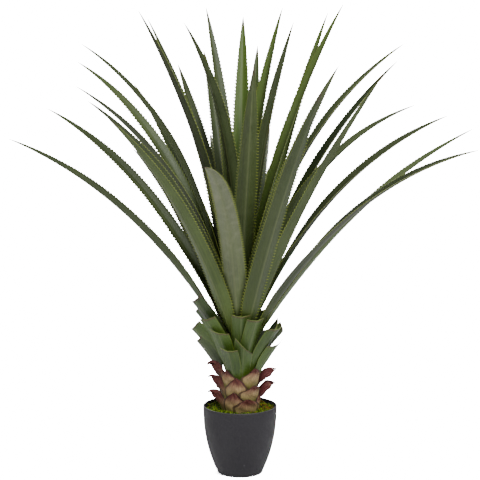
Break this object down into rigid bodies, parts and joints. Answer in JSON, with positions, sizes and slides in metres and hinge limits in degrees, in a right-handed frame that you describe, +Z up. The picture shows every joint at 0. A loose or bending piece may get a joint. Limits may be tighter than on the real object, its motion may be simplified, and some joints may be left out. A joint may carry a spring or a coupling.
{
  "type": "potted agave plant",
  "caption": "Tall agave with a fountain of long toothed sword leaves, trimmed leaf bases and curled husks on a short trunk, in a round tapering pot topped with moss.",
  "frame": {"origin": "middle of the pot's flat underside, on the surface it stands on", "axes": "+Z up along the pot and the trunk; -Y faces the viewer, the side that the bent front leaf hangs over; +X is the viewer's right"},
  "size_m": [1.1878, 1.1395, 1.2006],
  "materials": {
    "pot": "matte charcoal plastic with faint scuffs",
    "soil": "dark crumbly potting soil",
    "moss": "curly preserved moss, yellow-green",
    "trunk": "pale fibrous trunk",
    "husk": "dry leathery husk, olive at the foot to tan and maroon at the curled tip",
    "leaf_base": "satin fresh green, pale along the cut",
    "leaf": "satin grey-green with fine lengthwise streaks and yellow-green margins"
  },
  "bodies": {
    "root": {"husk_whorl_1": "husk", "husk_whorl_2": "husk", "husk_whorl_3": "husk", "leaf_01": "leaf", "leaf_02": "leaf", "leaf_03": "leaf", "leaf_04": "leaf", "leaf_05": "leaf", "leaf_06": "leaf", "leaf_07": "leaf", "leaf_08": "leaf", "leaf_09": "leaf", "leaf_10": "leaf", "leaf_11": "leaf", "leaf_12": "leaf", "leaf_13": "leaf", "leaf_14": "leaf", "leaf_15": "leaf", "leaf_16": "leaf", "leaf_17": "leaf", "leaf_18": "leaf", "leaf_19": "leaf", "leaf_20": "leaf", "leaf_21": "leaf", "leaf_22": "leaf", "leaf_23": "leaf", "leaf_24": "leaf", "leaf_25": "leaf", "leaf_26": "leaf", "leaf_27": "leaf", "leaf_28": "leaf", "leaf_29": "leaf", "leaf_30": "leaf", "leaf_31": "leaf", "leaf_32": "leaf", "leaf_33": "leaf", "leaf_34": "leaf", "leaf_35": "leaf", "leaf_base_back": "leaf_base", "leaf_base_back_left": "leaf_base", "leaf_base_back_right": "leaf_base", "leaf_base_front_bottom": "leaf_base", "leaf_base_front_left_lower": "leaf_base", "leaf_base_front_left_top": "leaf_base", "leaf_base_front_point": "leaf_base", "leaf_base_front_right_lower": "leaf_base", "leaf_base_front_right_top": "leaf_base", "leaf_base_front_top": "leaf_base", "leaf_base_left_bottom": "leaf_base", "leaf_base_left_lower": "leaf_base", "leaf_base_left_top": "leaf_base", "leaf_base_left_upper": "leaf_base", "leaf_base_right_bottom": "leaf_base", "leaf_base_right_curled": "leaf_base", "leaf_base_right_front": "leaf_base", "leaf_base_right_lower": "leaf_base", "moss": "moss", "pot": "pot", "soil": "soil", "trunk": "trunk"}
  },
  "joints": []
}
